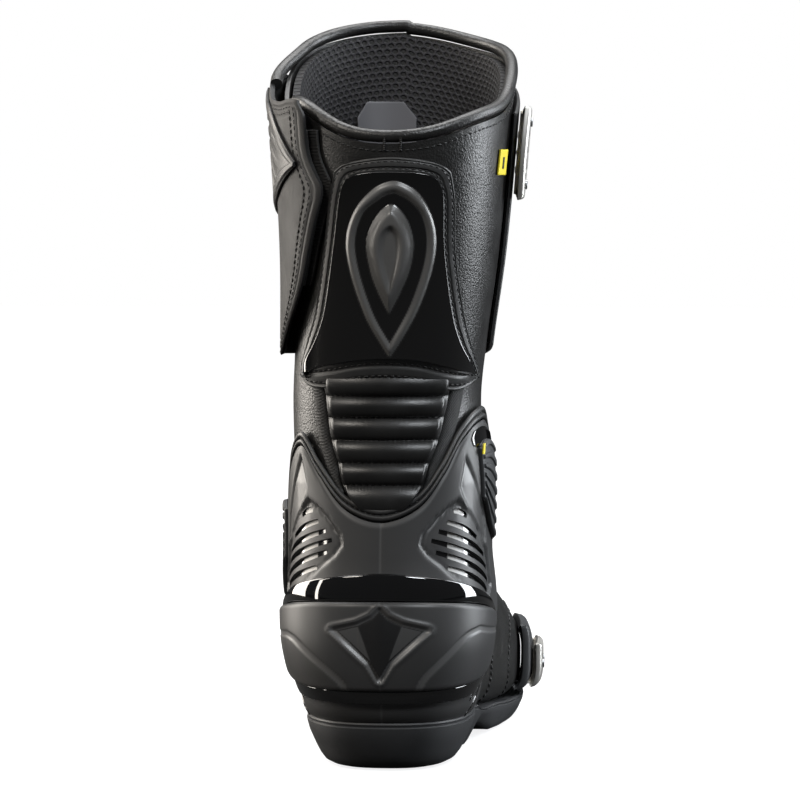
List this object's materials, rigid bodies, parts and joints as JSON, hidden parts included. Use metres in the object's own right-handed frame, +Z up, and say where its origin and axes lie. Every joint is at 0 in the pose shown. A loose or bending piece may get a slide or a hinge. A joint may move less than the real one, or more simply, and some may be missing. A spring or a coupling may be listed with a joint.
{
  "type": "motorcycle riding boot",
  "caption": "Armoured right-foot motorcycle riding boot with moulded heel and ankle guards, calf and shin plates, side sliders, a medial zip and a closure flap.",
  "frame": {"origin": "on the floor, at the middle of the flat heel tread", "axes": "+X to the wearer's right (the outer side of this right boot), +Y towards the toe, +Z up"},
  "size_m": [0.129, 0.3257, 0.3553],
  "materials": {
    "leather": "pebble-grain black leather, low sheen",
    "matte_shell": "matte charcoal moulded plastic",
    "gloss_shell": "deep gloss black moulded plastic",
    "rubber": "matte dark grey rubber",
    "mesh_lining": "dark three-dimensional hexagon mesh",
    "metal": "satin silver",
    "webbing": "black woven tape",
    "board": "pressed fibre board",
    "steel": "plain steel",
    "yellow": "woven yellow tag"
  },
  "bodies": {
    "foot": {"outsole": "rubber", "shank": "steel", "insole_board": "board", "footbed": "mesh_lining", "vamp": "leather", "heel_quarter": "leather", "toe_lining": "mesh_lining", "heel_lining": "mesh_lining", "vent_insert_medial": "gloss_shell", "vent_insert_lateral": "gloss_shell", "ankle_frame": "matte_shell", "frame_collar": "leather", "heel_guard": "matte_shell", "heel_badge": "matte_shell", "heel_band_lower": "gloss_shell", "heel_band_upper": "gloss_shell", "ankle_bone_guard_medial": "rubber", "ankle_bone_guard_lateral": "rubber", "toe_cap": "matte_shell", "lever_pad": "rubber", "toe_slider_mount": "rubber", "toe_slider_plate": "metal", "toe_slider_screw_rear": "steel", "toe_slider_screw_front": "steel", "ankle_gusset": "leather", "ankle_lining": "mesh_lining", "tendon_panel": "leather", "instep_panel": "leather"},
    "shaft": {"rear_quarter": "leather", "front_quarter": "leather", "rear_lining": "mesh_lining", "front_lining": "mesh_lining", "collar_binding": "leather", "zip_tape_rear": "webbing", "zip_tape_front": "webbing", "loop_tape": "webbing", "calf_plate_border": "leather", "calf_plate": "gloss_shell", "shin_plate": "matte_shell", "shin_slider": "metal", "shin_slider_screw_low": "steel", "shin_slider_screw_high": "steel", "size_tag": "yellow", "lining_label": "webbing"},
    "flap": {"closure_flap": "leather", "flap_hook_tape": "webbing", "flap_wing_pad": "matte_shell"},
    "zip_runner": {"zip_slider": "metal"},
    "zip_tab": {"zip_pull": "metal"}
  },
  "joints": [
    {"name": "ankle_flex", "type": "hinge", "parent": "foot", "child": "shaft", "pos_m": [0, 0.015, 0.105], "axis": [-1, 0, 0], "range_deg": [-3, 18], "stiffness_Nm_per_rad": 6, "deforming": ["ankle_gusset", "ankle_lining", "tendon_panel", "instep_panel"]},
    {"name": "flap_swing", "type": "hinge", "parent": "shaft", "child": "flap", "pos_m": [-0.0492, 0.02944, 0.26112], "axis": [0.041, -0.021, -0.9989], "range_deg": [0, 100]},
    {"name": "zip_slide", "type": "slide", "parent": "shaft", "child": "zip_runner", "axis": [0.0014, 0.2522, -0.9677], "range_m": [0, 0.0756]},
    {"name": "pull_sway", "type": "hinge", "parent": "zip_runner", "child": "zip_tab", "pos_m": [-0.04616, -0.0097, 0.2868], "axis": [-0.9671, -0.2435, -0.0743], "range_deg": [-15, 15]}
  ]
}
